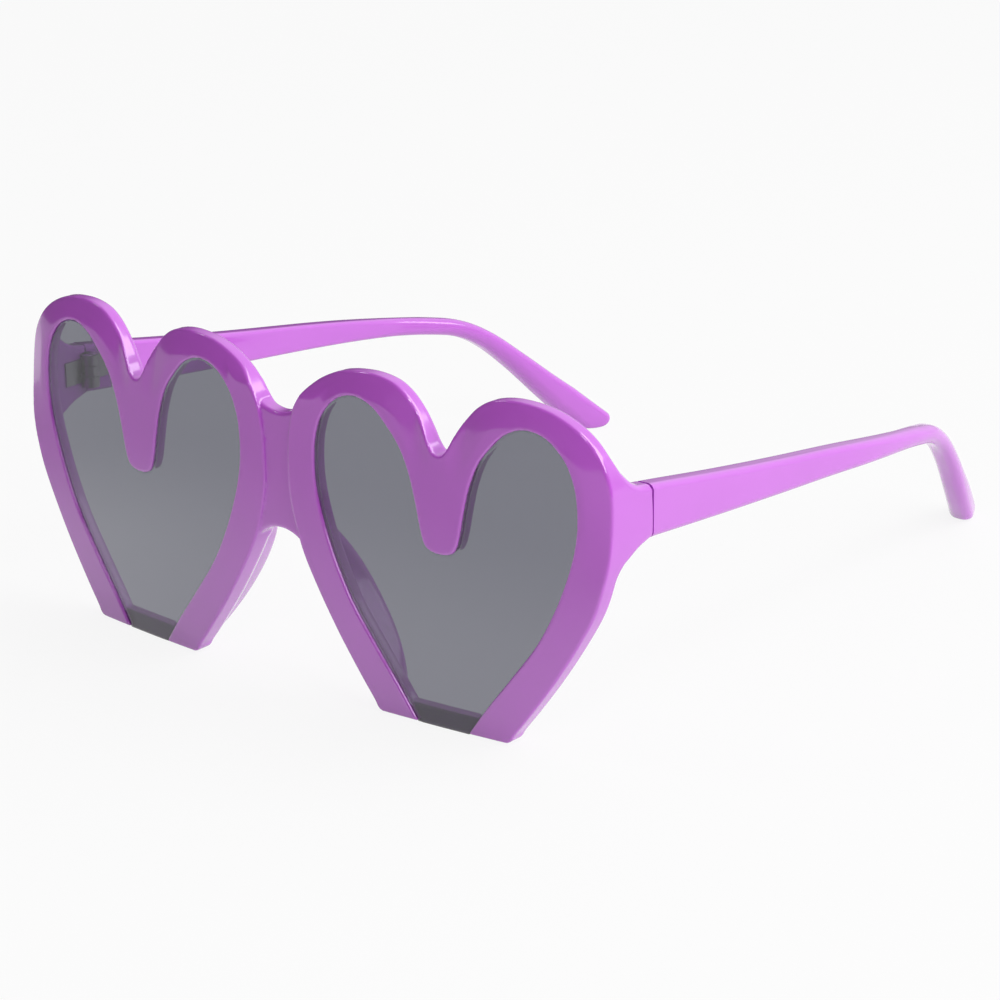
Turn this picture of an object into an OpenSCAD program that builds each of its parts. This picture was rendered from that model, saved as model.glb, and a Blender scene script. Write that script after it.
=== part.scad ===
// Heart shaped sunglasses: a bowed one-piece front with two heart rims that are open at the bottom,
// two smoke lenses, and two temples that fold inwards on metal barrel hinges.
// Left and right are the wearer's. +X is the wearer's left, +Y runs back along the temples, +Z is up.
// The glasses stand on the lenses' bottom edges and the temples' feet. Lengths are in millimetres.

/* [Hearts] */
// Width of one lens opening
heart_w = 56.6; // [50:0.2:62]
// Height of one lens opening, from the lens's bottom edge
heart_h = 59.8; // [54:0.2:66]
// Distance between the two lens openings
heart_gap = 18.4; // [16.4:0.2:24]
// Width of the rim at its sides
rim_w = 6.3; // [5.6:0.1:7.4]
// Width of the rim over the lobes
rim_top_w = 4.6; // [3.8:0.1:6]
// Height of the bar that closes each rim behind its lens
bar_h = 3; // [2:0.1:4]
// How far each lens stands out below the rim's flat bottom
lens_proud = 0.3; // [0.2:0.1:1]

/* [Front] */
// Thickness of the front, from face to back
front_t = 4.4; // [4:0.1:6]
// Radius of the front's bow, seen from above
bow_r = 417; // [300:5:900]
// Angle by which the front's top leans forward
tilt = 0.2; // [0:0.1:3]
// Thickness of the lip in front of each lens
lip_t = 0.4; // [0.3:0.1:1.4]
// Thickness of each lens
lens_t = 1.6; // [1.2:0.1:2]
// Depth of the groove that holds the lens's edge
groove_d = 0.8; // [0.5:0.1:1.2]
// Clearance round each lens in its groove
lens_fit = 0.05; // [0.02:0.01:0.1]

/* [Bridge and nose] */
// Height of the arch over the nose
nose_h = 30.6; // [28:0.2:34]
// Radius of the arch over the nose
arch_r = 8; // [7:0.5:9]
// Height of the bridge, from the arch to the dip above it
bridge_h = 22.6; // [19:0.2:25]
// Radius of the dip above the bridge
dip_r = 8; // [6:0.5:12]
// How far the bridge lies behind the rims' face
bridge_recess = 0.7; // [0.3:0.1:1.2]
// Depth of the nose pads, from the front's face
pad_depth = 11; // [7.5:0.1:12]
// Length of the nose pads, from top to bottom
pad_l = 34; // [24:0.5:36]
// How far the nose pads' roots stay clear of the lens openings
pad_inset = 2.6; // [1:0.1:3.4]
// Angle by which the nose pads open towards the back
pad_flare = 15; // [5:1:20]

/* [Temples] */
// Length of the end piece behind the rim
end_l = 8; // [6:0.1:10]
// Height by which the end piece flares up to the rim
flare_up = 9.8; // [5:0.2:11]
// Height by which the end piece flares down to the rim
flare_down = 6.8; // [5:0.2:9]
// Height of the temple at the hinge
temple_h = 9.9; // [9:0.1:12]
// Length of the level foot at the temple's tip
foot_l = 9.2; // [7.8:0.1:11]
// Radius of the foot's back corner
heel_r = 1.8; // [1:0.1:2.4]
// Radius of the foot's front corner
toe_r = 3.6; // [2:0.1:4.2]
// Thickness of the temple
temple_t = 4; // [3.6:0.1:5]
// Thickness of the temple at its tip
tip_t = 6; // [4:0.1:7]
// Length of the temple from the hinge to its end
temple_l = 142.5; // [130:0.5:155]
// Height of the hinge's middle above the ground
hinge_z = 44.4; // [42:0.2:47]
// How far the temple leans in, up to where its bow begins
temple_lean = 2.8; // [1:0.1:5]
// Radius of the temple's bow towards the head
temple_bow_r = 197; // [160:1:260]

/* [Hinges] */
// Height of the hinge barrel
barrel_h = 6.6; // [5.4:0.1:8]
// Radius of the hinge barrel
barrel_r = 1.7; // [1.5:0.1:1.9]
// Radius of the hinge screw's shank
screw_r = 0.7; // [0.5:0.05:0.8]
// Radius of the hinge screw's head
head_r = 1.2; // [1:0.05:1.3]
// Thickness of the hinge screw's head
head_t = 0.7; // [0.5:0.1:1]
// Height of each hinge leaf
leaf_h = 4.8; // [4:0.1:5.4]
// Thickness of each hinge leaf
leaf_t = 0.9; // [0.7:0.1:1.2]
// Length of the leaf in the end piece
front_leaf_l = 4; // [3:0.1:4.4]
// Length of the leaf in the temple
temple_leaf_l = 6; // [5:0.1:8]

/* [Hidden] */
$fn = 64;
// Facets of the front's wide bow
bow_fn = 720;
// How far cuts run past what they cut
overrun = 2;
// Straight pieces in each span of a smooth curve
steps = 4;
// Straight pieces along the temple's bow, and round each corner of its foot
plan_steps = 24;
corner_steps = 8;
purple = [0.66, 0.33, 0.73];
smoke = [0.35, 0.35, 0.38, 0.6];
steel = [0.75, 0.76, 0.78];

// Right half of a lens opening, from its bottom corner to the tip of the drop,
// as shares of half its width and of its height
opening_shares = [
    [0.192, 0], [0.345, 0.105], [0.520, 0.215], [0.705, 0.337], [0.835, 0.455], [0.930, 0.572],
    [0.985, 0.672], [1, 0.757], [0.982, 0.848], [0.915, 0.926], [0.790, 0.983], [0.640, 1],
    [0.500, 0.977], [0.385, 0.925], [0.290, 0.865], [0.222, 0.786], [0.180, 0.705], [0.147, 0.628],
    [0.112, 0.581], [0.055, 0.565], [0, 0.5625]
];
// Right half of a rim's outer edge, from its flat bottom to the notch between the lobes,
// as shares of half the rim's width and of its height above the flat bottom
rim_shares = [
    [0.392, 0], [0.411, 0.004], [0.427, 0.014], [0.447, 0.032], [0.538, 0.098], [0.680, 0.208],
    [0.813, 0.325], [0.914, 0.430], [0.974, 0.535], [0.995, 0.600], [1, 0.675], [0.988, 0.780],
    [0.938, 0.868], [0.827, 0.937], [0.655, 0.985], [0.465, 1], [0.318, 0.990], [0.223, 0.962],
    [0.147, 0.918], [0.095, 0.873], [0.058, 0.834], [0.028, 0.813], [0, 0.807]
];
// The end piece's upper and lower edges, as shares of its length and of its flare
flare_up_shares = [[1, 0], [0.77, 0.065], [0.585, 0.23], [0.285, 0.68], [0, 1]];
flare_down_shares = [[1, 0], [0.77, 0.14], [0.55, 0.38], [0.285, 0.70], [0, 1]];
// The temple's middle line, as shares of its length and of the hinge's height,
// with its height there as a share of its height at the hinge
temple_shares = [
    [-0.03, 1.009, 1], [0, 1, 1], [0.15, 0.934, 0.835], [0.29, 0.877, 0.690], [0.455, 0.814, 0.535],
    [0.605, 0.747, 0.415], [0.688, 0.701, 0.385], [0.742, 0.655, 0.385], [0.791, 0.567, 0.395],
    [0.842, 0.430, 0.455], [0.891, 0.281, 0.566], [0.925, 0.180, 0.646]
];
// Where the temple's bow begins, and where it starts to thicken, as shares of its length
bow_share = 0.48;
grow_share = 0.62;
// Where the end piece's root lies in the rim, as a share of the way back to the hinge
root_share = 0.28;
// How much of a leaf's thickness is let into the plastic
sink_share = 0.65;
// How far the hinge's axis stands in from the temple's inner face, as a share of the barrel's radius
axis_share = 0.7;
// How far the bridge's plate rises beside the dip and reaches down beside the arch,
// as shares of their radii
dip_share = 0.45;
arch_share = 0.4;
// The depth at which the nose pads begin, as a share of the front's thickness
pad_root_share = 0.8;
// How far the deepest place of the nose pads lies below the arch, as a share of their length
pad_middle_share = 0.38;
// The prongs' places along a leaf, from the barrel, and above and below its middle,
// as shares of its length and of its height
prong_along_share = 0.55;
prong_up_share = 0.27;

// Places that follow from the sizes above
rim_out_w = heart_w + 2 * rim_w;
rim_h = heart_h + rim_top_w - lens_proud;
heart_x = (heart_gap + heart_w) / 2;
edge_x = heart_x + rim_out_w / 2;
edge_y = sag(edge_x);
seam_y = edge_y + front_t + end_l;
seam_gap = 0.2;
temple_y = seam_y + seam_gap;
inner_x = edge_x - temple_t;
axis_x = inner_x - barrel_r * axis_share;
axis_y = seam_y + seam_gap / 2;
barrel_gap = 0.25;
knuckle_gap = 0.1;
knuckle_h = (barrel_h - 2 * knuckle_gap) / 3;
screw_gap = 0.04;
leaf_fit = 0.05;
leaf_sink = leaf_t * sink_share;
prong_r = 0.6;
prong_l = 1.6;
slot_w = 0.35;
slot_d = 0.3;
pad_x = heart_gap / 2;
pad_y = front_t * pad_root_share;
pad_middle_z = nose_h - pad_l * pad_middle_share;
pad_r = (pad_l * pad_l / 4 + pow(pad_depth - front_t, 2)) / (2 * (pad_depth - front_t));
temple_end_y = temple_y + temple_l;
front_y = min([for (q = rim_points()) sag(q[0]) * cos(tilt) - q[1] * sin(tilt)]);

// How far back the bowed face lies at a distance x from the middle
function sag(x) = bow_r - sqrt(bow_r * bow_r - x * x);

// A point on the smooth curve through p, at the share t of the span after point k
function curve_point(p, k, t) =
    let (a = p[max(k - 1, 0)], b = p[k], c = p[k + 1], d = p[min(k + 2, len(p) - 1)])
    b + t * (c - a) / 2 + t * t * (2 * a - 5 * b + 4 * c - d) / 2
    + t * t * t * (3 * b - a - 3 * c + d) / 2;

// The smooth curve through p
function curve(p) = [
    for (k = [0:len(p) - 2], j = [0:steps - 1]) curve_point(p, k, j / steps),
    p[len(p) - 1]
];

function scaled(p, w, h) = [for (q = p) [q[0] * w, q[1] * h]];

// The direction along p at point k, and p moved sideways by d, to the right of its direction
function along(p, k) =
    let (v = p[min(k + 1, len(p) - 1)] - p[max(k - 1, 0)]) v / norm(v);
function moved(p, d) = [
    for (k = [0:len(p) - 1]) let (v = along(p, k), e = is_list(d) ? d[k] : d) p[k] + e * [v[1], -v[0]]
];

// A half outline that ends on its mirror line, with its mirror image
function both_halves(p) = concat(p, [for (k = [len(p) - 2:-1:0]) [-p[k][0], p[k][1]]]);

// A lens opening, run on past its bottom and made larger by grow
function opening_points(grow) =
    let (
        p = curve(both_halves(scaled(opening_shares, heart_w / 2, heart_h))),
        last = len(p) - 1,
        run = 2 * overrun + grow
    )
    [
        for (q = moved(concat([p[0] - along(p, 0) * run], p, [p[last] + along(p, last) * run]), grow))
            q + [heart_x, 0]
    ];
function rim_points() = [
    for (q = curve(both_halves(scaled(rim_shares, rim_out_w / 2, rim_h)))) q + [heart_x, lens_proud]
];

module opening_outline(grow) {
    polygon(opening_points(grow));
}

module rim_outline() {
    polygon(rim_points());
}

// The part of an outline above the height z
module above(z) {
    intersection() {
        children();
        translate([0, z]) square([edge_x + overrun, heart_h + rim_top_w + overrun]);
    }
}

// An outline seen from the front, as a block from y0 to y1
module front_block(y0, y1) {
    translate([0, y1, 0]) rotate([90, 0, 0]) linear_extrude(y1 - y0) children();
}

// The bowed layer from depth d0 to depth d1 behind the front's face
module bowed_layer(d0, d1) {
    translate([0, bow_r, -overrun]) difference() {
        cylinder(h = heart_h + rim_top_w + 3 * overrun, r = bow_r - d0, $fn = bow_fn);
        translate([0, 0, -overrun])
            cylinder(h = heart_h + rim_top_w + 5 * overrun, r = bow_r - d1, $fn = bow_fn);
    }
}

// An outline seen from the front, cut from the bowed layer between two depths
module bowed_plate(d0, d1) {
    intersection() {
        front_block(-overrun, seam_y) children();
        bowed_layer(d0, d1);
    }
}

// Leans the upright front forward
module leaning() {
    rotate([tilt, 0, 0]) children();
}

// Both sides of the glasses
module both() {
    children();
    mirror([1, 0, 0]) children();
}

// What joins the two rims: a plate with an arch below it and a dip above it
module bridge_outline() {
    low = nose_h - arch_r * arch_share;
    high = nose_h + bridge_h + dip_r * dip_share;
    difference() {
        translate([-heart_gap / 2, low]) square([heart_gap, high - low]);
        translate([0, nose_h - arch_r]) circle(arch_r);
        translate([0, nose_h + bridge_h + dip_r]) circle(dip_r);
    }
}

// The end piece, seen from the side
module end_piece_side() {
    root_y = seam_y * root_share;
    upper = [
        for (q = curve(flare_up_shares))
            [root_y + (seam_y - root_y) * q[0], hinge_z + temple_h / 2 + flare_up * q[1]]
    ];
    lower = [
        for (q = curve(flare_down_shares))
            [root_y + (seam_y - root_y) * q[0], hinge_z - temple_h / 2 - flare_down * q[1]]
    ];
    polygon(concat(upper, [for (k = [len(lower) - 1:-1:0]) lower[k]]));
}

// An outline seen from the side, as a block from x0 to x1
module side_block(x0, x1) {
    translate([x0, 0, 0]) rotate([90, 0, 90]) linear_extrude(x1 - x0) children();
}

module end_piece() {
    intersection() {
        side_block(inner_x, edge_x + overrun) end_piece_side();
        front_block(0, seam_y) rim_outline();
        translate([0, bow_r, 0]) cylinder(h = heart_h + rim_top_w, r = bow_r - lip_t, $fn = bow_fn);
    }
}

// An outline squeezed towards the middle, so that a block of it that is turned by the nose pads'
// flare has the outline's own shape where it leaves the rim
function leant(points) = [for (q = points) [(q[0] - pad_x) * cos(pad_flare), q[1]]];

// A nose pad: the rim's inner lower side, run back at a slant and rounded off
module nose_pad() {
    intersection() {
        translate([pad_x, pad_y, 0]) rotate([0, 0, -pad_flare])
            front_block(-pad_l, pad_l) difference() {
                polygon(leant(rim_points()));
                polygon(leant(opening_points(pad_inset)));
            }
        translate([0, pad_depth - pad_r, pad_middle_z]) rotate([0, 90, 0])
            cylinder(h = heart_x - pad_x, r = pad_r);
        bowed_layer(pad_y, pad_depth + overrun);
    }
}

// Room for a hinge leaf, its two prongs and the barrel, in the inner face of an end piece or temple
module leaf_room(l, back) {
    y0 = back ? axis_y : axis_y - barrel_r - l - leaf_fit;
    translate([inner_x - overrun, y0, hinge_z - leaf_h / 2 - leaf_fit])
        cube([overrun + leaf_sink, barrel_r + l + leaf_fit, leaf_h + 2 * leaf_fit]);
    prongs(l, back, screw_gap);
    translate([axis_x, axis_y, hinge_z - barrel_h / 2 - barrel_gap])
        cylinder(h = barrel_h + 2 * barrel_gap, r = barrel_r + barrel_gap);
}

// The two prongs that anchor a leaf in the plastic
module prongs(l, back, grow) {
    for (k = [-1, 1])
        translate([
            inner_x + leaf_sink - leaf_t / 2,
            axis_y + (back ? 1 : -1) * (barrel_r + l * prong_along_share),
            hinge_z + k * leaf_h * prong_up_share
        ])
            rotate([0, 90, 0]) cylinder(h = leaf_t / 2 + prong_l + grow, r = prong_r + grow);
}

module front_frame() {
    color(purple) difference() {
        union() {
            both() {
                leaning() bowed_plate(0, front_t) rim_outline();
                leaning() nose_pad();
                end_piece();
            }
            leaning() bowed_plate(bridge_recess, front_t) bridge_outline();
        }
        both() {
            leaning() bowed_plate(-overrun, lip_t + lens_t / 2) opening_outline(0);
            leaning() bowed_plate(lip_t, lip_t + lens_t + 2 * lens_fit)
                opening_outline(groove_d + lens_fit);
            leaning() front_block(-overrun, seam_y) above(lens_proud + bar_h) opening_outline(0);
            leaf_room(front_leaf_l, false);
        }
    }
}

// A lens, cut level with the ground
module lens() {
    color(smoke) intersection() {
        leaning() bowed_plate(lip_t + lens_fit, lip_t + lens_fit + lens_t)
            opening_outline(groove_d);
        translate([0, -heart_h, 0]) cube([edge_x, heart_h + seam_y, heart_h + rim_top_w]);
    }
}

// How far out the temple's outer face lies at the distance u behind the hinge
function temple_x(u) =
    let (
        straight = temple_l * bow_share,
        slope = temple_lean / straight,
        lean = atan(slope),
        v = u - straight
    )
    edge_x - slope * min(u, straight) - (v <= 0 ? 0
        : temple_bow_r * cos(lean) - sqrt(pow(temple_bow_r, 2) - pow(temple_bow_r * sin(lean) + v, 2)));

// The temple's thickness at the distance u behind the hinge
function thickness(u) =
    let (t = max(0, min(1, (u / temple_l - grow_share) / (1 - grow_share))))
    temple_t + (tip_t - temple_t) * t * (2 - t);

// The temple, seen from above
module temple_plan() {
    us = [for (k = [0:plan_steps]) (temple_l + overrun) * k / plan_steps];
    polygon(concat(
        [for (u = us) [temple_x(u), temple_y + u]],
        [for (k = [plan_steps:-1:0]) [temple_x(us[k]) - thickness(us[k]), temple_y + us[k]]]
    ));
}

// A rounded corner of an outline, from the angle a0 to the angle a1
function corner(centre, r, a0, a1) = [
    for (k = [0:corner_steps]) let (a = a0 + (a1 - a0) * k / corner_steps)
        centre + r * [cos(a), sin(a)]
];

// The temple, seen from the side, with the level foot that it stands on
module temple_side() {
    middle = curve(
        [for (q = temple_shares) [temple_y + temple_l * q[0], hinge_z * q[1], temple_h * q[2] / 2]]
    );
    line = [for (q = middle) [q[0], q[1]]];
    half = [for (q = middle) q[2]];
    upper = moved(line, [for (h = half) -h]);
    lower = moved(line, half);
    last = len(line) - 1;
    turn = atan2(along(line, last)[1], along(line, last)[0]);
    heel = corner([temple_end_y - heel_r, heel_r], heel_r, turn + 90, -90);
    toe = corner([temple_end_y - foot_l + toe_r, toe_r], toe_r, -90, turn - 90);
    polygon(concat(upper, heel, toe, [for (k = [last:-1:0]) lower[k]]));
}

module temple() {
    color(purple) difference() {
        intersection() {
            side_block(0, edge_x + overrun) temple_side();
            linear_extrude(hinge_z + temple_h) temple_plan();
        }
        leaf_room(temple_leaf_l, true);
    }
}

// A knuckle of the barrel: 0 is the lowest, 2 the highest
module knuckle(k) {
    translate([axis_x, axis_y, hinge_z - barrel_h / 2 + k * (knuckle_h + knuckle_gap)])
        cylinder(h = knuckle_h, r = barrel_r);
}

// Room for a knuckle of the other leaf
module knuckle_room(k) {
    translate([axis_x, axis_y, hinge_z - barrel_h / 2 + k * (knuckle_h + knuckle_gap) - knuckle_gap])
        cylinder(h = knuckle_h + 2 * knuckle_gap, r = barrel_r + barrel_gap);
}

module screw_hole() {
    translate([axis_x, axis_y, hinge_z - barrel_h / 2 - overrun])
        cylinder(h = barrel_h + 2 * overrun, r = screw_r + screw_gap);
    translate([axis_x, axis_y, hinge_z + barrel_h / 2 - head_t])
        cylinder(h = head_t + overrun, r = head_r + screw_gap);
}

module front_leaf() {
    color(steel) difference() {
        union() {
            translate([
                inner_x + leaf_sink - leaf_t, axis_y - barrel_r - front_leaf_l, hinge_z - leaf_h / 2
            ])
                cube([leaf_t, barrel_r + front_leaf_l - seam_gap / 2, leaf_h]);
            prongs(front_leaf_l, false, 0);
            knuckle(0);
            knuckle(2);
        }
        knuckle_room(1);
        screw_hole();
    }
}

module temple_leaf() {
    color(steel) difference() {
        union() {
            translate([inner_x + leaf_sink - leaf_t, axis_y + seam_gap / 2, hinge_z - leaf_h / 2])
                cube([leaf_t, barrel_r + temple_leaf_l - seam_gap / 2, leaf_h]);
            prongs(temple_leaf_l, true, 0);
            knuckle(1);
        }
        knuckle_room(0);
        knuckle_room(2);
        screw_hole();
    }
}

module hinge_screw() {
    color(steel) difference() {
        union() {
            translate([axis_x, axis_y, hinge_z - barrel_h / 2]) cylinder(h = barrel_h, r = screw_r);
            translate([axis_x, axis_y, hinge_z + barrel_h / 2 - head_t]) cylinder(h = head_t, r = head_r);
        }
        translate([axis_x - head_r - overrun, axis_y - slot_w / 2, hinge_z + barrel_h / 2 - slot_d])
            cube([2 * (head_r + overrun), slot_w, slot_d + overrun]);
    }
}

// The origin is on the ground, midway between the front's face and the temples' ends
module placed() {
    translate([0, -(front_y + temple_end_y) / 2, 0]) children();
}

module placed_right() {
    placed() mirror([1, 0, 0]) children();
}

placed() front_frame();
placed() lens();  // left_lens
placed_right() lens();  // right_lens
placed() temple();  // left_temple
placed_right() temple();  // right_temple
placed() front_leaf();  // left_front_leaf
placed_right() front_leaf();  // right_front_leaf
placed() temple_leaf();  // left_temple_leaf
placed_right() temple_leaf();  // right_temple_leaf
placed() hinge_screw();  // left_hinge_screw
placed_right() hinge_screw();  // right_hinge_screw
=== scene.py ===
"""Heart shaped sunglasses: the looks of the bowed front, its lenses, temples and hinges."""

import math

import bmesh
import bpy
import numpy as np
from mathutils import Matrix, Vector


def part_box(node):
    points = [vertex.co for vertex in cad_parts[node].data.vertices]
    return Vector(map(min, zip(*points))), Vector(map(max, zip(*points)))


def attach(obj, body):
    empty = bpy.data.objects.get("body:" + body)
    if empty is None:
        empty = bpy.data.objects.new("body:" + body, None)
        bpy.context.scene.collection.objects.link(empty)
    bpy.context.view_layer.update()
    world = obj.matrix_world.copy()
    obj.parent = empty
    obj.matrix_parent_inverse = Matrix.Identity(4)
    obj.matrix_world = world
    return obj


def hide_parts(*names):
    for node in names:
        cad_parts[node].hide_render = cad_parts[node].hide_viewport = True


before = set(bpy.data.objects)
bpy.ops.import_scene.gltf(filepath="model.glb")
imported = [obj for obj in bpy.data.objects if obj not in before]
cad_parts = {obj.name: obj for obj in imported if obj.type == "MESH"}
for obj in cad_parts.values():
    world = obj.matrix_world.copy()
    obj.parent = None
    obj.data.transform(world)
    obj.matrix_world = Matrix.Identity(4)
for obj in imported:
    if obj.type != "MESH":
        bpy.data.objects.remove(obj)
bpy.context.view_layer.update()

# Lengths are in millimetres up to the meshes, which are in metres
MM = 0.001

# The hearts
heart_w = 56.6
heart_h = 59.8
heart_gap = 18.4
rim_w = 6.3
rim_top_w = 4.6
bar_h = 3.0
lens_proud = 0.3

# The front
front_t = 4.4
bow_r = 417.0
tilt = math.radians(0.2)
lip_t = 0.4
lens_t = 1.6
groove_d = 0.8
lens_fit = 0.05
groove_back = lip_t + lens_t + 2 * lens_fit

# The bridge and the nose pads
nose_h = 30.6
arch_r = 8.0
bridge_h = 22.6
dip_r = 8.0
bridge_recess = 0.7
pad_depth = 11.0
pad_l = 34.0
pad_inset = 2.6
pad_flare = math.radians(15)

# The end pieces and temples
end_l = 8.0
flare_up = 9.8
flare_down = 6.8
temple_h = 9.9
foot_l = 9.2
heel_r = 1.8
toe_r = 3.6
temple_t = 4.0
tip_t = 6.0
temple_l = 142.5
hinge_z = 44.4
temple_lean = 2.8
temple_bow_r = 197.0

# The hinges
barrel_h = 6.6
barrel_r = 1.7
barrel_gap = 0.25
leaf_h = 4.8
leaf_t = 0.9
front_leaf_l = 4.0
temple_leaf_l = 6.0
leaf_fit = 0.05
seam_gap = 0.2
overrun = 2.0

# Outlines as shares of the sizes that they follow
opening_shares = [
    (0.192, 0), (0.345, 0.105), (0.520, 0.215), (0.705, 0.337), (0.835, 0.455), (0.930, 0.572),
    (0.985, 0.672), (1, 0.757), (0.982, 0.848), (0.915, 0.926), (0.790, 0.983), (0.640, 1),
    (0.500, 0.977), (0.385, 0.925), (0.290, 0.865), (0.222, 0.786), (0.180, 0.705), (0.147, 0.628),
    (0.112, 0.581), (0.055, 0.565), (0, 0.5625),
]
rim_shares = [
    (0.392, 0), (0.411, 0.004), (0.427, 0.014), (0.447, 0.032), (0.538, 0.098), (0.680, 0.208),
    (0.813, 0.325), (0.914, 0.430), (0.974, 0.535), (0.995, 0.600), (1, 0.675), (0.988, 0.780),
    (0.938, 0.868), (0.827, 0.937), (0.655, 0.985), (0.465, 1), (0.318, 0.990), (0.223, 0.962),
    (0.147, 0.918), (0.095, 0.873), (0.058, 0.834), (0.028, 0.813), (0, 0.807),
]
flare_up_shares = [(1, 0), (0.77, 0.065), (0.585, 0.23), (0.285, 0.68), (0, 1)]
flare_down_shares = [(1, 0), (0.77, 0.14), (0.55, 0.38), (0.285, 0.70), (0, 1)]
temple_shares = [
    (-0.03, 1.009, 1), (0, 1, 1), (0.15, 0.934, 0.835), (0.29, 0.877, 0.690), (0.455, 0.814, 0.535),
    (0.605, 0.747, 0.415), (0.688, 0.701, 0.385), (0.742, 0.655, 0.385), (0.791, 0.567, 0.395),
    (0.842, 0.430, 0.455), (0.891, 0.281, 0.566), (0.925, 0.180, 0.646),
]
bow_share = 0.48
grow_share = 0.62
root_share = 0.28
sink_share = 0.65
axis_share = 0.7
dip_share = 0.45
arch_share = 0.4
pad_root_share = 0.8
pad_middle_share = 0.38

# The crown, which is the slanted face on top of each lobe, and where it fades out
crown_w = 4.7
crown_h = 1.3
crown_low_z = 32.0
crown_high_z = 51.0
crown_narrow_w = 6.0
crown_wide_w = 12.0
crown_web_w = 4.0
crown_middle_low_w = 1.5
crown_middle_high_w = 6.0
crown_lean_share = 0.85
crown_blend_share = 0.16

# Roundings of the moulding and the lens
face_round = 0.4
lip_round = 0.35
rear_round = 1.2
rear_lip_round = 0.7
web_round = 0.8
web_fillet = 0.12
notch_fillet = 1.3
end_round = 0.5
end_fillet = 1.2
bar_low = 0.05
pad_round = 2.0
bar_round = 0.4
lens_round = 0.3
lens_let_in = 0.15

# The temple's edges, which grow softer towards its tip
outer_edge_r = 1.3
inner_edge_r = 0.9
tip_edge_r = 1.2
edge_limit_share = 0.95
tip_oval_share = 0.3
soft_shares = (0.45, 0.85)
foot_in_share = 0.45

# The bevel of the hinges' metal, and the sides of the barrels' round room
metal_edge = 0.08
metal_edge_segments = 2
barrel_segments = 48

# Grids of the smooth solids, and how their points settle on the surface
front_step = 0.32
front_reach_share = 0.7
lens_step = 0.4
lens_start_share = 1.3
field_step = 0.2
field_margin = 6.0
end_field_reach = 20
settle_rounds = 4
settle_nudge_share = 1 / 16
settle_least_slope = 0.25
mirror_reach = 1e-3
curve_steps = 12
foot_steps = 12
edge_steps = 10

# The angle from which an edge is sharp, and how far the scene's pieces stay inside the solids' box
crease = math.radians(50)
skin = 0.01

# Colours of each material's darker and paler places
plastic_colors = ((0.565, 0.102, 0.700, 1), (0.600, 0.115, 0.735, 1))
lens_colors = ((0.172, 0.175, 0.210, 1), (0.180, 0.183, 0.218, 1))
leaf_colors = ((0.44, 0.43, 0.42, 1), (0.52, 0.51, 0.50, 1))
screw_colors = ((0.68, 0.68, 0.70, 1), (0.78, 0.78, 0.80, 1))
white = (1, 1, 1, 1)

# The camera at the photograph's angle: degrees, pixels, and millimetres to the part and off its middle
camera_azimuth = 39.585
camera_elevation = 19.307
camera_roll = -0.608
camera_distance = 617.54
camera_right = 40.51
camera_up = 34.28
focal_px = 3300
image_px = 1000
sensor_w = 36
clip_start = 10 * MM

# The studio, in metres from the part's own origin
floor_reach = 4
floor_cells = 8
floor_color = (0.8, 0.8, 0.8, 1)
floor_glow_share = 0.88
light_way = Vector((0.25, 0.68, 0.69)).normalized()
dim_shares = (0.35, 0.85)
room_glow = (0.08, 0.95)

# The dark screen, a painted dark reflection that only the gloss mirrors: the radius and top of its low and
# of its high round
reflection_screen_parts = ((0.55, 0.1), (1.7, 1.7))
reflection_screen_glow = (0.1, 1.0)
reflection_screen_cells = (96, 128)

# The painted floor reflection, a glow on the floor that only the gloss mirrors: its sides and height, the
# half size of its bright middle, and how it fades
reflection_card_x = (-1.5, 1.5)
reflection_card_y = (-1.5, -0.084)
reflection_card_z = 0.0005
reflection_card_bright_half = (0.07, 0.08, 0.001)
reflection_card_fade = (0.02, 0.10)
reflection_card_glow = (1.0, 0.55)

# The soft boxes: name, azimuth and elevation in degrees, distance, width and height, watts, mirrored or not
lamps = [
    ("key", 120, 45, 1.5, (1.0, 1.0), 9, True),
    ("side", 84, 26, 1.5, (0.7, 0.7), 7, True),
    ("sparkle", 38, 42, 1.3, (0.16, 0.16), 1.2, True),
    ("glint", -61, 47, 1.3, (0.16, 0.16), 0.6, True),
    ("front_fill", -10, 4, 1.5, (0.6, 0.2), 1.3, False),
]


def sag(x):
    return bow_r - np.sqrt(bow_r * bow_r - x * x)


rim_out_w = heart_w + 2 * rim_w
rim_h = heart_h + rim_top_w - lens_proud
heart_x = (heart_gap + heart_w) / 2
edge_x = heart_x + rim_out_w / 2
seam_y = float(sag(edge_x)) + front_t + end_l
temple_y = seam_y + seam_gap
temple_end_y = temple_y + temple_l
inner_x = edge_x - temple_t
axis_x = inner_x - barrel_r * axis_share
axis_y = seam_y + seam_gap / 2
leaf_sink = leaf_t * sink_share
pad_x = heart_gap / 2
pad_y = front_t * pad_root_share
pad_middle_z = nose_h - pad_l * pad_middle_share
pad_r = (pad_l ** 2 / 4 + (pad_depth - front_t) ** 2) / (2 * (pad_depth - front_t))

# The frame gives how far back the part's own origin lies
shift_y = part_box("left_temple")[1].y / MM - temple_end_y


def curve(points):
    """The smooth curve through points, as the CAD model draws it."""
    p = np.array(points, float)
    rows = []
    for k in range(len(p) - 1):
        a, b, c, d = p[max(k - 1, 0)], p[k], p[k + 1], p[min(k + 2, len(p) - 1)]
        t = np.arange(curve_steps)[:, None] / curve_steps
        rows.append(b + t * (c - a) / 2 + t ** 2 * (2 * a - 5 * b + 4 * c - d) / 2
                    + t ** 3 * (3 * b - a - 3 * c + d) / 2)
    return np.concatenate(rows + [p[-1:]])


def heart_outline(shares, width, height):
    """Both halves of a heart outline, smooth across its mirror line."""
    half = np.array(shares) * [width / 2, height]
    return curve(np.concatenate([half, half[-2::-1] * [-1, 1]]))


def smooth_step(t):
    t = np.clip(t, 0, 1)
    return t * t * (3 - 2 * t)


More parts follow.
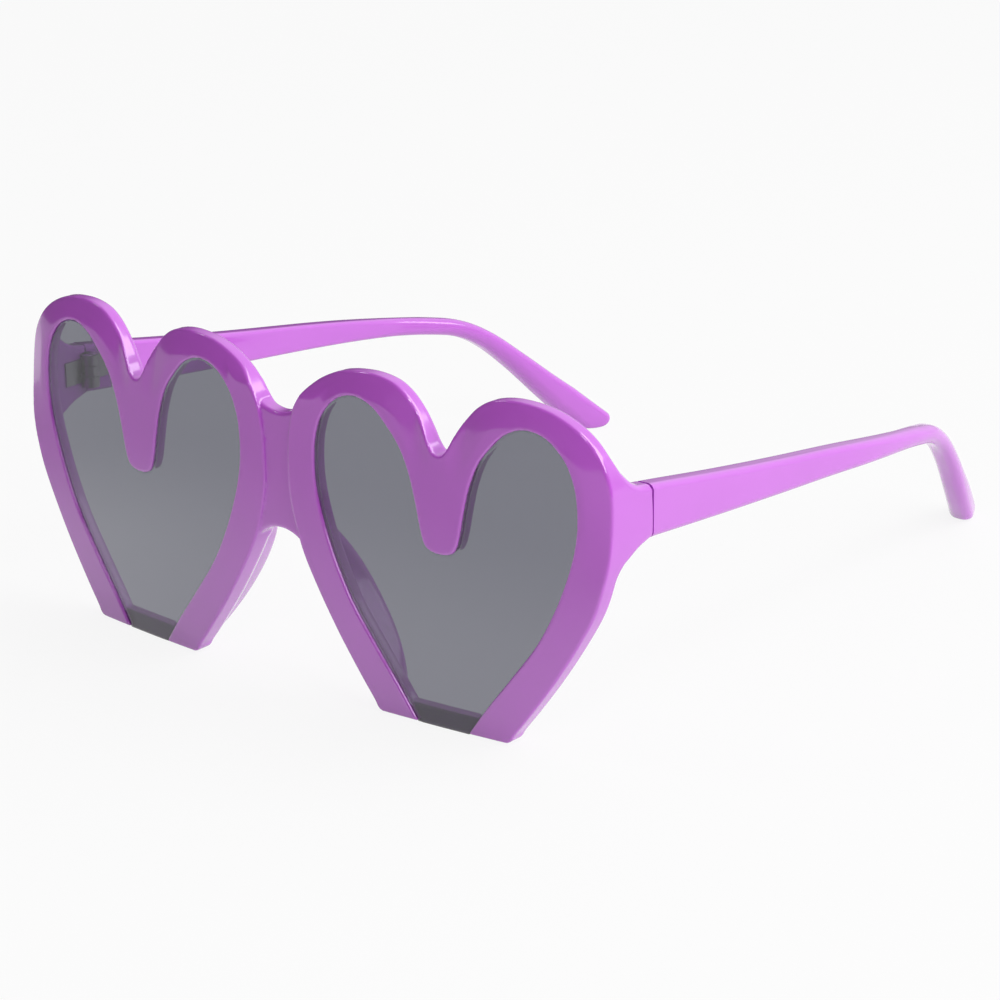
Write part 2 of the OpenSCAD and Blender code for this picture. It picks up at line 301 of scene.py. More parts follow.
class Field:
    """The signed distance to a closed outline, looked up on a grid."""

    def __init__(self, points, low, high):
        self.low = np.array(low, float)
        u = self.low[0] + np.arange(int((high[0] - low[0]) / field_step) + 2)[:, None] * field_step
        v = self.low[1] + np.arange(int((high[1] - low[1]) / field_step) + 2)[None, :] * field_step
        nearest = np.full((u.shape[0], v.shape[1]), np.inf)
        inside = np.zeros(nearest.shape, bool)
        for a, b in zip(points, np.roll(points, -1, 0)):
            e = b - a
            length = e @ e
            if length == 0:
                continue
            wu, wv = u - a[0], v - a[1]
            t = np.clip((wu * e[0] + wv * e[1]) / length, 0, 1)
            nearest = np.minimum(nearest, (wu - t * e[0]) ** 2 + (wv - t * e[1]) ** 2)
            crosses = (a[1] > v) != (b[1] > v)
            if crosses.any():
                inside ^= crosses & (wu < e[0] * wv / np.where(e[1] == 0, 1, e[1]))
        self.values = np.where(inside, -1, 1) * np.sqrt(nearest)

    def __call__(self, u, v):
        u = (u - self.low[0]) / field_step
        v = (v - self.low[1]) / field_step
        i = np.clip(np.floor(u).astype(int), 0, self.values.shape[0] - 2)
        j = np.clip(np.floor(v).astype(int), 0, self.values.shape[1] - 2)
        s = np.clip(u - i, 0, 1)
        t = np.clip(v - j, 0, 1)
        g = self.values
        return ((g[i, j] * (1 - s) + g[i + 1, j] * s) * (1 - t)
                + (g[i, j + 1] * (1 - s) + g[i + 1, j + 1] * s) * t)


def meet(a, b, r):
    """What lies in both solids, with the edge between them rounded."""
    return (np.minimum(np.maximum(a, b), -r)
            + np.sqrt(np.maximum(a + r, 0) ** 2 + np.maximum(b + r, 0) ** 2))


def join(a, b, r):
    """What lies in either solid, with the corner between them filled."""
    return (np.maximum(np.minimum(a, b), r)
            - np.sqrt(np.maximum(r - a, 0) ** 2 + np.maximum(r - b, 0) ** 2))


def opening_points():
    """The outline of a lens opening, run on past its open bottom."""
    p = heart_outline(opening_shares, heart_w, heart_h)
    run = 2 * rim_top_w
    first, last = p[0] - p[1], p[-1] - p[-2]
    ends = [p[0] + run * first / np.linalg.norm(first), p[-1] + run * last / np.linalg.norm(last)]
    return np.concatenate([ends[:1], p, ends[1:]]) + [heart_x, 0]


def rim_points():
    return heart_outline(rim_shares, rim_out_w, rim_h) + [heart_x, lens_proud]


def end_points():
    """The end piece seen from the side, run on past its root and its seam."""
    root_y = seam_y * root_share
    edges = []
    for shares, way, flare in ((flare_up_shares, 1, flare_up), (flare_down_shares, -1, flare_down)):
        line = curve(shares) * [seam_y - root_y, way * flare]
        line += [root_y, hinge_z + way * temple_h / 2]
        edges.append(np.concatenate([[line[0] + [end_l, 0]], line]))
    return np.concatenate([edges[0], edges[1][::-1]])


heart_low = (-field_margin, -field_margin)
heart_high = (edge_x + field_margin, heart_h + rim_top_w + field_margin)
rim_field = Field(rim_points(), heart_low, heart_high)
opening_field = Field(opening_points(), heart_low, heart_high)
end_low = (0, hinge_z - end_field_reach)
end_high = (seam_y + field_margin, hinge_z + end_field_reach)
end_field = Field(end_points(), end_low, end_high)


def place(x, d, z0):
    """The place of a point at depth d behind the bowed, leaning face."""
    y0 = d + sag(x)
    y = y0 * math.cos(tilt) - z0 * math.sin(tilt)
    z = y0 * math.sin(tilt) + z0 * math.cos(tilt)
    return x, y, z


def bridge_shape(x, z):
    """The web between the rims, with the arch below it and the dip above it."""
    low = nose_h - arch_r * arch_share
    high = nose_h + bridge_h + dip_r * dip_share
    arch = arch_r - np.hypot(x, z - (nose_h - arch_r))
    dip = dip_r - np.hypot(x, z - (nose_h + bridge_h + dip_r))
    return np.maximum.reduce([x - heart_gap / 2, low - z, z - high, arch, dip])


def pad_shape(x, d, z):
    """A nose pad: the rim's inner lower side, run back at a slant and rounded off."""
    y = d + sag(x)
    across = (x - pad_x) * math.cos(pad_flare) - (y - pad_y) * math.sin(pad_flare)
    u = pad_x + across / math.cos(pad_flare)
    wall = meet(rim_field(u, z), pad_inset - opening_field(u, z), pad_round)
    back = np.hypot(y - (pad_depth - pad_r), z - pad_middle_z) - pad_r
    return np.maximum(meet(wall, back, pad_round), x - (heart_x - pad_x))


def crown_depth(x, z, rim, opening, web):
    """How far the face leans back towards the rim's edge, on top of each lobe."""
    near = 1 + rim / crown_w
    near = (near + np.sqrt(near ** 2 + crown_blend_share ** 2)) / 2
    lobe = smooth_step((z - crown_low_z) / (crown_high_z - crown_low_z))
    lobe = lobe * smooth_step((crown_wide_w + rim - opening) / (crown_wide_w - crown_narrow_w))
    lobe = lobe * smooth_step(web / crown_web_w)
    from_middle = np.abs(x - heart_x) - crown_middle_low_w
    lobe = lobe * smooth_step(from_middle / (crown_middle_high_w - crown_middle_low_w))
    return crown_h * lobe * near * (crown_lean_share + (1 - crown_lean_share) * near)


def front_shape(x, d, z0):
    """The front frame's signed distance, roughly, in its own bowed and leaning space."""
    x = np.abs(x)
    _, y, z = place(x, d, z0)
    rim = rim_field(x, z0)
    opening = opening_field(x, z0)
    web = bridge_shape(x, z0)

    # The face, with the web between the rims set back a little
    crown = crown_depth(x, z0, rim, opening, web)
    face = meet(rim, crown - d, face_round)
    web_face = meet(web, bridge_recess - d, web_round)
    face = join(face, web_face, web_fillet)

    # The back, from which the nose pads and the end piece run on
    end = meet(end_field(y, z), inner_x - x, end_round)
    back = join(d - front_t, pad_shape(x, d, z0), end_fillet)
    back = join(back, end, end_fillet)
    outline = join(rim, web, notch_fillet)
    shape = np.maximum.reduce([
        face,
        meet(-opening, crown - d, lip_round),
        meet(outline, back, rear_round),
        meet(-opening, back, rear_lip_round),
        y - seam_y,
    ])

    # The low bar behind the lens, which closes the rim's open bottom
    bar = meet(z0 - lens_proud - bar_h, d - front_t, bar_round)
    bar = np.maximum.reduce([bar, opening - groove_d, bar_low - z0, groove_back - d])
    return np.minimum(shape, bar)


def lens_shape(x, d, z0):
    """A lens: the opening's outline, let into its wall and cut level with the ground."""
    _, _, z = place(x, d, z0)
    middle = lip_t + lens_fit + lens_t / 2
    plate = meet(opening_field(x, z0) - lens_let_in, np.abs(d - middle) - lens_t / 2, 0)
    return meet(plate, -z, lens_round)


def net(shape, low, high, step):
    """Vertices and quads of the surface where shape is zero, with the vertices set onto it."""
    axes = [low[k] + np.arange(int(math.ceil((high[k] - low[k]) / step)) + 1) * step for k in range(3)]
    size = tuple(len(a) for a in axes)
    values = np.empty(size, np.float32)
    for i, x in enumerate(axes[0]):
        values[i] = shape(np.full((size[1], size[2]), x), *np.meshgrid(axes[1], axes[2], indexing="ij"))
    inside = values < 0

    corners = [(i, j, k) for i in (0, 1) for j in (0, 1) for k in (0, 1)]
    cells = tuple(n - 1 for n in size)

    def corner(array, c):
        return array[c[0]:c[0] + cells[0], c[1]:c[1] + cells[1], c[2]:c[2] + cells[2]]

    count = sum(corner(inside, c).astype(np.int8) for c in corners)
    active = (count > 0) & (count < len(corners))
    where = np.argwhere(active)
    number = np.full(cells, -1, np.int64)
    number[active] = np.arange(len(where))

    # One point in each cell that the surface passes
    total = np.zeros((len(where), 3))
    hits = np.zeros(len(where))
    for a in corners:
        for axis in range(3):
            if a[axis]:
                continue
            b = tuple(1 if k == axis else a[k] for k in range(3))
            fa = corner(values, a)[active].astype(float)
            fb = corner(values, b)[active].astype(float)
            cross = (fa < 0) != (fb < 0)
            t = np.where(cross, fa / np.where(cross, fa - fb, 1), 0)
            point = np.tile(np.array(a, float), (len(where), 1))
            point[:, axis] = t
            total += point * cross[:, None]
            hits += cross
    points = np.array(low) + (where + total / hits[:, None]) * step

    # One quad across each grid edge that the surface crosses
    faces = []
    for axis in range(3):
        u, v = [(1, 2), (2, 0), (0, 1)][axis]
        here = [slice(0, n) for n in size]
        here[axis] = slice(0, size[axis] - 1)
        there = list(here)
        there[axis] = slice(1, size[axis])
        start, end = inside[tuple(here)], inside[tuple(there)]
        for way in (False, True):
            edge = np.argwhere((start != end) & (start == way))
            edge = edge[(edge[:, u] > 0) & (edge[:, v] > 0)]
            edge = edge[(edge[:, u] < cells[u]) & (edge[:, v] < cells[v])]
            ring = []
            for du, dv in ((1, 1), (0, 1), (0, 0), (1, 0)):
                cell = edge.copy()
                cell[:, u] -= du
                cell[:, v] -= dv
                ring.append(number[cell[:, 0], cell[:, 1], cell[:, 2]])
            quad = np.stack(ring, 1)
            faces.append(quad if way else quad[:, ::-1])
    faces = np.concatenate(faces)

    # The points settle on the surface
    nudge = step * settle_nudge_share
    for _ in range(settle_rounds):
        f = shape(*points.T)
        slope = np.stack([
            (shape(*(points + nudge * e).T) - shape(*(points - nudge * e).T)) / (2 * nudge)
            for e in np.eye(3)
        ], 1)
        move = slope * (f / np.maximum((slope ** 2).sum(1), settle_least_slope))[:, None]
        points = points - np.clip(move, -step / 2, step / 2)
    return points, faces


def mirrored(points, faces):
    """The half at x > 0 with its mirror image, joined along the mirror plane."""
    middle = np.abs(points[:, 0]) < mirror_reach
    points[middle, 0] = 0
    image = points[~middle] * [-1, 1, 1]
    number = np.arange(len(points))
    number[~middle] = len(points) + np.arange(len(image))
    return np.concatenate([points, image]), np.concatenate([faces, number[faces][:, ::-1]])


def linked_object(name, data):
    obj = bpy.data.objects.new(name, data)
    bpy.context.scene.collection.objects.link(obj)
    return obj


def mesh_object(name, points, faces):
    """A smooth object from points in millimetres, set at the part's own origin."""
    mesh = bpy.data.meshes.new(name)
    mesh.from_pydata(((points + [0, shift_y, 0]) * MM).tolist(), [], faces)
    mesh.polygons.foreach_set("use_smooth", np.ones(len(faces), bool))
    mesh.update()
    return linked_object(name, mesh)


def front_mesh():
    reach = front_reach_share * front_step
    low = (-front_step / 2, -reach, bar_low - 2 * front_step)
    high = (edge_x + reach, seam_y - float(sag(inner_x)) + overrun, heart_h + rim_top_w + 2 * reach)
    points, faces = net(front_shape, low, high, front_step)
    keep = (points[:, 0] > -front_step)[faces].all(1)
    points[:, 0] = np.minimum(points[:, 0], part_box("front_frame")[1].x / MM - skin)
    points, faces = mirrored(points, faces[keep])
    points = np.stack(place(*points.T), 1)
    points[:, 2] = np.minimum(points[:, 2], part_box("front_frame")[1].z / MM - skin)
    return points, faces.tolist()


def lens_mesh():
    half = heart_w / 2 + groove_d
    reach = 2 * lens_step
    low = (heart_x - half - reach, lip_t - lens_start_share * lens_step, -reach)
    high = (heart_x + half + reach, groove_back + lens_step, heart_h + groove_d + reach)
    points, faces = net(lens_shape, low, high, lens_step)
    return np.stack(place(*points.T), 1), faces


def temple_x(u):
    """How far out the temple's outer face lies at the distance u behind the hinge."""
    straight = temple_l * bow_share
    slope = temple_lean / straight
    lean = math.atan(slope)
    v = np.maximum(u - straight, 0)
    bowed = temple_bow_r * math.cos(lean) - np.sqrt(
        temple_bow_r ** 2 - (temple_bow_r * math.sin(lean) + v) ** 2)
    return edge_x - slope * np.minimum(u, straight) - np.where(v > 0, bowed, 0)


def thickness(u):
    """The temple's thickness at the distance u behind the hinge."""
    t = np.clip((u / temple_l - grow_share) / (1 - grow_share), 0, 1)
    return temple_t + (tip_t - temple_t) * t * (2 - t)


def section(half_t, half_h, outer_r, inner_r, oval):
    """A temple's cross-section: a rounded bar, made a little oval."""
    bar = []
    corners = [(1, 1, 0, outer_r), (-1, 1, 90, inner_r), (-1, -1, 180, inner_r), (1, -1, 270, outer_r)]
    for cx, cy, turn, r in corners:
        for k in range(edge_steps + 1):
            a = math.radians(turn + 90 * k / edge_steps)
            bar.append((cx * (half_t - r) + r * math.cos(a), cy * (half_h - r) + r * math.sin(a)))
    bar = np.array(bar)
    angle = np.arctan2(bar[:, 1] / half_h, bar[:, 0] / half_t)
    ellipse = np.stack([half_t * np.cos(angle), half_h * np.sin(angle)], 1)
    return bar * (1 - oval) + ellipse * oval


def arc(centre, r, start, end):
    """Points of a rounded corner, from the angle start to the angle end."""
    a = np.linspace(start, end, foot_steps + 1)
    return np.array(centre) + r * np.stack([np.cos(a), np.sin(a)], 1)


def temple_edges():
    """The temple's upper and lower edge seen from the side, in pairs, and its fullness there."""
    rows = [(temple_y + temple_l * a, hinge_z * b, temple_h * c / 2) for a, b, c in temple_shares]
    middle = curve(rows)
    way = np.gradient(middle[:, :2], axis=0)
    way /= np.linalg.norm(way, axis=1)[:, None]
    across = np.stack([-way[:, 1], way[:, 0]], 1) * middle[:, 2:]
    turn = math.atan2(way[-1, 1], way[-1, 0])
    down = math.radians(-90)
    heel = arc((temple_end_y - heel_r, heel_r), heel_r, turn - down, down)
    toe = arc((temple_end_y - foot_l + toe_r, toe_r), toe_r, turn + down, down)
    shares = np.linspace(0, 1, foot_steps + 1)[1:-1, None]
    edges = []
    for edge, foot in ((middle[:, :2] + across, heel), (middle[:, :2] - across, toe)):
        between = edge[-1] + (foot[0] - edge[-1]) * shares
        edges.append(np.concatenate([edge, between, foot]))
    round_in = 1 - np.sqrt(1 - np.linspace(0, 1, len(heel)) ** 2)
    full = np.concatenate([np.ones(len(middle) + len(shares)), 1 - foot_in_share * round_in])
    return edges[0], edges[1], full


def temple_mesh():
    """A lofted temple that ends in a level foot, run on past its seam, on the left side."""
    rings = []
    for upper, lower, full in zip(*temple_edges()):
        centre, up = (upper + lower) / 2, (upper - lower) / 2
        half_h = np.linalg.norm(up)
        u = centre[0] - temple_y
        half_t = thickness(u) / 2 * full
        soft = float(smooth_step((u / temple_l - soft_shares[0]) / (soft_shares[1] - soft_shares[0])))
        limit = edge_limit_share * min(half_t, half_h)
        outer_r = min(outer_edge_r + tip_edge_r * soft, limit)
        inner_r = min(inner_edge_r + tip_edge_r * soft, limit)
        ring = section(half_t, half_h, outer_r, inner_r, tip_oval_share * soft)
        y, z = (centre[:, None] + up[:, None] / half_h * ring[:, 1])
        x = temple_x(y - temple_y) - thickness(y - temple_y) / 2 + ring[:, 0]
        rings.append(np.stack([x, y, z], 1))
    n = len(rings[0])
    here = np.arange(n)
    ahead = (here + 1) % n
    quads = [np.stack([k * n + here, k * n + ahead, (k + 1) * n + ahead, (k + 1) * n + here], 1)
             for k in range(len(rings) - 1)]
    caps = [here[::-1].tolist(), ((len(rings) - 1) * n + here).tolist()]
    return np.concatenate(rings), np.concatenate(quads).tolist() + caps


class Shape:
    """A list of boxes and cylinders that cut a recess, in millimetres."""

    def __init__(self):
        self.bm = bmesh.new()

    def box(self, low, high):
        made = bmesh.ops.create_cube(self.bm, size=1)["verts"]
        low, high = Vector(low), Vector(high)
        for v in made:
            v.co = Vector([low[k] + (v.co[k] + 0.5) * (high[k] - low[k]) for k in range(3)])

    def cylinder(self, centre, radius, height):
        bmesh.ops.create_cone(
            self.bm, cap_ends=True, segments=barrel_segments, radius1=radius, radius2=radius, depth=height,
            matrix=Matrix.Translation(centre))

    def object(self, mirror):
        for v in self.bm.verts:
            v.co = Vector((mirror * v.co.x, v.co.y + shift_y, v.co.z)) * MM
        if mirror < 0:
            bmesh.ops.reverse_faces(self.bm, faces=self.bm.faces)
        mesh = bpy.data.meshes.new("cut")
        self.bm.to_mesh(mesh)
        self.bm.free()
        return linked_object("cut", mesh)


def cut(obj, shapes):
    """Cuts each shape out of the object and removes it."""
    for shape in shapes:
        mod = obj.modifiers.new("recess", "BOOLEAN")
        mod.operation = "DIFFERENCE"
        mod.solver = "EXACT"
        mod.object = shape
        depsgraph = bpy.context.evaluated_depsgraph_get()
        mesh = bpy.data.meshes.new_from_object(obj.evaluated_get(depsgraph))
        obj.modifiers.clear()
        old = obj.data
        obj.data = mesh
        mesh.set_sharp_from_angle(angle=crease)
        mesh.name = old.name
        bpy.data.meshes.remove(old)
        bpy.data.objects.remove(shape)


def leaf_recess(length, back, mirror):
    """Room for a leaf, and apart from it room for the barrel."""
    reach = barrel_r + length + leaf_fit
    near, far = (axis_y - overrun, axis_y + reach) if back else (axis_y - reach, axis_y + overrun)
    half = leaf_h / 2 + leaf_fit
    leaf = Shape()
    leaf.box((inner_x - overrun, near, hinge_z - half), (inner_x + leaf_sink, far, hinge_z + half))
    barrel = Shape()
    barrel.cylinder((axis_x, axis_y, hinge_z), barrel_r + barrel_gap, barrel_h + 2 * barrel_gap)
    return [leaf.object(mirror), barrel.object(mirror)]


def seam_cut(mirror):
    """What a temple's run past its seam is cut off with."""
    shape = Shape()
    low = (inner_x - overrun, temple_y - temple_h, hinge_z - temple_h)
    shape.box(low, (edge_x + overrun, temple_y, hinge_z + temple_h))
    return shape.object(mirror)


def shader_nodes(name):
    material = bpy.data.materials.new(name)
    material.use_nodes = True
    nodes, links = material.node_tree.nodes, material.node_tree.links
    return material, nodes, links, nodes["Principled BSDF"]


def noise(nodes, links, scale, detail):
    """A soft noise in the part's own space."""
    place_node = nodes.new("ShaderNodeTexCoord")
    texture = nodes.new("ShaderNodeTexNoise")
    texture.inputs["Scale"].default_value = scale
    texture.inputs["Detail"].default_value = detail
    links.new(place_node.outputs["Object"], texture.inputs["Vector"])
    return texture.outputs["Fac"]


def spread_noise(nodes, links, scale, detail, low=0.0, high=1.0):
    """A soft noise that runs between two values."""
    spread = nodes.new("ShaderNodeMapRange")
    spread.inputs["From Min"].default_value = 0.3
    spread.inputs["From Max"].default_value = 0.7
    spread.inputs["To Min"].default_value = low
    spread.inputs["To Max"].default_value = high
    links.new(noise(nodes, links, scale, detail), spread.inputs["Value"])
    return spread.outputs["Result"]


def mottle(nodes, links, shader, colors, scale, detail):
    """Lets the shader's colour run between two, by a soft noise."""
    share = spread_noise(nodes, links, scale, detail)
    ramp = nodes.new("ShaderNodeValToRGB")
    ramp.color_ramp.elements[0].color = colors[0]
    ramp.color_ramp.elements[1].color = colors[1]
    links.new(share, ramp.inputs["Fac"])
    links.new(ramp.outputs["Color"], shader.inputs["Base Color"])


def gloss(nodes, links, shader, scale, detail, low, high):
    """Lets the shader's roughness run between two values, by a soft noise."""
    share = spread_noise(nodes, links, scale, detail, low, high)
    links.new(share, shader.inputs["Roughness"])


def ripple(nodes, links, shader, scale, detail, strength, distance):
    """Gives the shader a surface that isn't quite even."""
    bump = nodes.new("ShaderNodeBump")
    bump.inputs["Strength"].default_value = strength
    bump.inputs["Distance"].default_value = distance
    links.new(noise(nodes, links, scale, detail), bump.inputs["Height"])
    links.new(bump.outputs["Normal"], shader.inputs["Normal"])


def plastic():
    """Polished moulded plastic with a faint mottle and the slightest ripple."""
    material, nodes, links, shader = shader_nodes("purple_plastic")
    shader.inputs["IOR"].default_value = 1.56
    shader.inputs["Specular IOR Level"].default_value = 0.9
    shader.inputs["Coat Weight"].default_value = 0.5
    shader.inputs["Coat Roughness"].default_value = 0.03
    shader.inputs["Coat IOR"].default_value = 1.5
    gloss(nodes, links, shader, scale=90, detail=3, low=0.10, high=0.16)
    mottle(nodes, links, shader, plastic_colors, scale=28, detail=2)
    ripple(nodes, links, shader, scale=160, detail=1, strength=0.05, distance=0.0002)
    return material


def lens_glass():
    """Smoke tinted lens, with the faintest change of tint."""
    material, nodes, links, shader = shader_nodes("smoke_lens")
    shader.inputs["Transmission Weight"].default_value = 1
    shader.inputs["IOR"].default_value = 1.6
    shader.inputs["Roughness"].default_value = 0
    shader.inputs["Coat Weight"].default_value = 0.3
    shader.inputs["Coat Roughness"].default_value = 0
    mottle(nodes, links, shader, lens_colors, scale=12, detail=1)
    return material


def metal(name, colors, low, high, brush):
    """A metal with fine wear in its gloss and colour, and a fine grain."""
    material, nodes, links, shader = shader_nodes(name)
    shader.inputs["Metallic"].default_value = 1
    gloss(nodes, links, shader, scale=700, detail=4, low=low, high=high)
    mottle(nodes, links, shader, colors, scale=350, detail=3)
    ripple(nodes, links, shader, scale=2500, detail=2, strength=brush, distance=0.00005)
    return material


def dress(obj, material):
    obj.data.materials.clear()
    obj.data.materials.append(material)


def add_front(material):
    obj = mesh_object("front_moulding", *front_mesh())
    for mirror in (1, -1):
        cut(obj, leaf_recess(front_leaf_l, False, mirror))
    dress(obj, material)
    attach(obj, "front")
    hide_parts("front_frame")


def add_lenses(material):
    points, faces = lens_mesh()
    for side, mirror in (("left", 1), ("right", -1)):
        turned = faces[:, ::mirror].tolist()
        obj = mesh_object(f"{side}_tinted_lens", points * [mirror, 1, 1], turned)
        dress(obj, material)
        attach(obj, "front")
        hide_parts(f"{side}_lens")


def add_temples(material):
    points, faces = temple_mesh()
    for side, mirror in (("left", 1), ("right", -1)):
        turned = [f[::mirror] for f in faces]
        obj = mesh_object(f"{side}_arm_moulding", points * [mirror, 1, 1], turned)
        cut(obj, [seam_cut(mirror)] + leaf_recess(temple_leaf_l, True, mirror))
        dress(obj, material)
        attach(obj, f"{side}_arm")
        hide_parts(f"{side}_temple")


def dress_hinges():
    steel = metal("hinge_metal", leaf_colors, low=0.26, high=0.38, brush=0.05)
    bright = metal("screw_metal", screw_colors, low=0.10, high=0.18, brush=0.08)
    for side in ("left", "right"):
        for node, material in (("front_leaf", steel), ("temple_leaf", steel), ("hinge_screw", bright)):
            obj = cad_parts[f"{side}_{node}"]
            dress(obj, material)
            bevel = obj.modifiers.new("edges", "BEVEL")
            bevel.width = metal_edge * MM
            bevel.segments = metal_edge_segments
            bevel.limit_method = "ANGLE"


def bare_nodes(owner, output):
    """Empties a material's or world's nodes down to a new output."""
    owner.use_nodes = True
    nodes, links = owner.node_tree.nodes, owner.node_tree.links
    nodes.clear()
    return nodes, links, nodes.new(output)


def seen_ray(nodes, links):
    """One for the rays that show the background, else zero."""
    path = nodes.new("ShaderNodeLightPath")
    total = path.outputs["Is Camera Ray"]
    for name in ("Is Glossy Ray", "Is Transmission Ray"):
        most = nodes.new("ShaderNodeMath")
        most.operation = "MAXIMUM"
        links.new(total, most.inputs[0])
        links.new(path.outputs[name], most.inputs[1])
        total = most.outputs[0]
    return total


def fade(nodes, links, value, shares, glow):
    """Runs softly from the first glow to the second as the value passes between the shares."""
    share = nodes.new("ShaderNodeMapRange")
    share.interpolation_type = "SMOOTHSTEP"
    share.inputs["From Min"].default_value = shares[0]
    share.inputs["From Max"].default_value = shares[1]
    share.inputs["To Min"].default_value = glow[0]
    share.inputs["To Max"].default_value = glow[1]
    links.new(value, share.inputs["Value"])
    return share.outputs["Result"]


def vector_node(nodes, links, operation, where, value=None):
    node = nodes.new("ShaderNodeVectorMath")
    node.operation = operation
    links.new(where, node.inputs[0])
    if value is not None:
        node.inputs[1].default_value = value
    return node.outputs


def light_share(nodes, links, where, glow):
    """From dim in front of the glasses to bright at their upper back, by the direction."""
    towards = vector_node(nodes, links, "DOT_PRODUCT", where, light_way)["Value"]
    return fade(nodes, links, towards, dim_shares, glow)


def floor_material():
    """White paper that keeps the object's shadow."""
    material = bpy.data.materials.new("paper")
    nodes, links, out = bare_nodes(material, "ShaderNodeOutputMaterial")
    mix = nodes.new("ShaderNodeMixShader")
    paper = nodes.new("ShaderNodeBsdfDiffuse")
    paper.inputs["Color"].default_value = floor_color
    glow = nodes.new("ShaderNodeEmission")
    glow.inputs["Color"].default_value = white
    share = nodes.new("ShaderNodeMath")
    share.operation = "MULTIPLY"
    share.inputs[1].default_value = floor_glow_share
    links.new(seen_ray(nodes, links), share.inputs[0])
    links.new(share.outputs[0], mix.inputs[0])
    links.new(paper.outputs[0], mix.inputs[1])
    links.new(glow.outputs[0], mix.inputs[2])
    links.new(mix.outputs[0], out.inputs["Surface"])
    return material


def add_floor():
    bm = bmesh.new()
    bmesh.ops.create_grid(bm, x_segments=floor_cells, y_segments=floor_cells, size=floor_reach)
    mesh = bpy.data.meshes.new("floor")
    bm.to_mesh(mesh)
    bm.free()
    floor = linked_object("floor", mesh)
    mesh.materials.append(floor_material())


def only_mirrored(name, mesh, brightness):
    """An object that only the gloss mirrors, a painted reflection as bright at each place as brightness
    says.
    """
    material = bpy.data.materials.new(f"{name}_glow")
    nodes, links, out = bare_nodes(material, "ShaderNodeOutputMaterial")
    glow = nodes.new("ShaderNodeEmission")
    where = nodes.new("ShaderNodeTexCoord").outputs["Object"]
    links.new(brightness(nodes, links, where), glow.inputs["Strength"])
    links.new(glow.outputs[0], out.inputs["Surface"])
    mesh.materials.append(material)
    obj = linked_object(name, mesh)
    obj.visible_camera = False
    obj.visible_diffuse = False
    obj.visible_transmission = False
    obj.visible_shadow = False
    return obj


# Painted reflection: the screen's glow runs from dim in front of the glasses to bright towards the light
def dark_reflection_brightness(nodes, links, where):
    unit = vector_node(nodes, links, "NORMALIZE", where)["Vector"]
    return light_share(nodes, links, unit, reflection_screen_glow)


def add_dark_reflection_screen():
    """A dark screen round the front, open towards the light, that only the gloss mirrors: a painted dark
    reflection, which neither blocks nor gives light.
    """
    bm = bmesh.new()
    for radius, top in reflection_screen_parts:
        made = bmesh.ops.create_uvsphere(
            bm, u_segments=reflection_screen_cells[0], v_segments=reflection_screen_cells[1], radius=radius)["verts"]
        off = [v for v in made if v.co.normalized().dot(light_way) > dim_shares[1] or not 0 <= v.co.z <= top]
        bmesh.ops.delete(bm, geom=off, context="VERTS")
    mesh = bpy.data.meshes.new("dark_reflection_screen")
    bm.to_mesh(mesh)
    bm.free()
    dark_reflection_screen = only_mirrored("dark_reflection_screen", mesh, dark_reflection_brightness)


def floor_reflection_brightness(nodes, links, where):
    """The painted floor reflection's glow: darker with the distance from the glasses' own place on the
    floor.
    """
    where = vector_node(nodes, links, "ABSOLUTE", where)["Vector"]
    where = vector_node(nodes, links, "SUBTRACT", where, reflection_card_bright_half)["Vector"]
    where = vector_node(nodes, links, "MAXIMUM", where, (0, 0, 0))["Vector"]
    away = vector_node(nodes, links, "LENGTH", where)["Value"]
    return fade(nodes, links, away, reflection_card_fade, reflection_card_glow)


def add_floor_reflection_card():
    """A glow that lies on the paper before the front and that only the gloss mirrors: a painted reflection,
    darker away from the glasses.
    """
    (low_x, high_x), (low_y, high_y) = reflection_card_x, reflection_card_y
    corners = [(low_x, low_y), (high_x, low_y), (high_x, high_y), (low_x, high_y)]
    mesh = bpy.data.meshes.new("floor_reflection_card")
    mesh.from_pydata([(x, y, reflection_card_z) for x, y in corners], [], [tuple(range(len(corners)))])
    floor_reflection_card = only_mirrored("floor_reflection_card", mesh, floor_reflection_brightness)


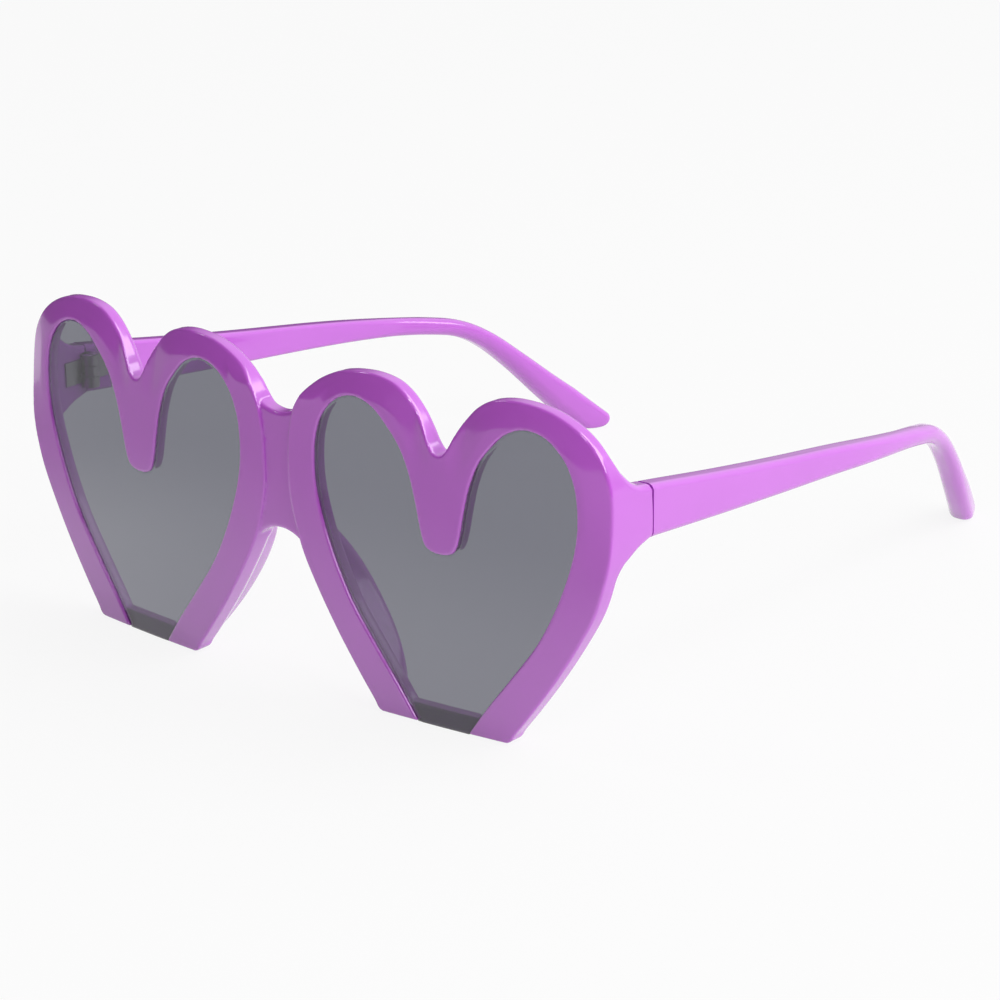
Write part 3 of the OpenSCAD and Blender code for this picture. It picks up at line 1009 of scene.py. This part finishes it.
def add_world():
    """A white studio, which lights the glasses from their upper back."""
    world = bpy.data.worlds.new("studio")
    bpy.context.scene.world = world
    nodes, links, out = bare_nodes(world, "ShaderNodeOutputWorld")
    where = nodes.new("ShaderNodeTexCoord").outputs["Generated"]
    room = nodes.new("ShaderNodeBackground")
    room.inputs["Color"].default_value = white
    links.new(light_share(nodes, links, where, room_glow), room.inputs["Strength"])
    seen = nodes.new("ShaderNodeBackground")
    seen.inputs["Color"].default_value = white
    mix = nodes.new("ShaderNodeMixShader")
    links.new(seen_ray(nodes, links), mix.inputs[0])
    links.new(room.outputs[0], mix.inputs[1])
    links.new(seen.outputs[0], mix.inputs[2])
    links.new(mix.outputs[0], out.inputs["Surface"])


def direction(azimuth, elevation):
    """The way from the glasses to a place at these angles, in degrees."""
    a, e = math.radians(azimuth), math.radians(elevation)
    return Vector((math.sin(a) * math.cos(e), -math.cos(a) * math.cos(e), math.sin(e)))


def add_lamp(name, azimuth, elevation, distance, size, watts, mirrored_too):
    """A soft box that looks at the middle of the glasses, with its own reflection or without."""
    back = direction(azimuth, elevation)
    data = bpy.data.lights.new(name, "AREA")
    data.shape = "RECTANGLE"
    data.size, data.size_y = size
    data.energy = watts
    lamp = linked_object(name, data)
    lamp.location = back * distance
    lamp.rotation_euler = back.to_track_quat("Z", "Y").to_euler()
    lamp.visible_glossy = mirrored_too


def add_camera():
    back = direction(camera_azimuth, camera_elevation)
    roll = math.radians(camera_roll)
    right = (-back).cross(Vector((0, 0, 1))).normalized()
    up = right.cross(-back)
    turned_right = right * math.cos(roll) + up * math.sin(roll)
    turned_up = up * math.cos(roll) - right * math.sin(roll)
    centre = back * camera_distance + turned_right * camera_right + turned_up * camera_up
    centre = (centre + Vector((0, shift_y, 0))) * MM
    data = bpy.data.cameras.new("camera")
    data.sensor_width = sensor_w
    data.lens = sensor_w * focal_px / image_px
    data.clip_start = clip_start
    camera = linked_object("camera", data)
    axes = Matrix((turned_right, turned_up, back)).transposed()
    camera.matrix_world = Matrix.Translation(centre) @ axes.to_4x4()
    bpy.context.scene.camera = camera


add_camera()
purple = plastic()
add_front(purple)
add_lenses(lens_glass())
add_temples(purple)
dress_hinges()
add_floor()
add_dark_reflection_screen()
add_floor_reflection_card()
add_world()
for lamp in lamps:
    add_lamp(*lamp)
bpy.context.scene.view_settings.view_transform = "Standard"
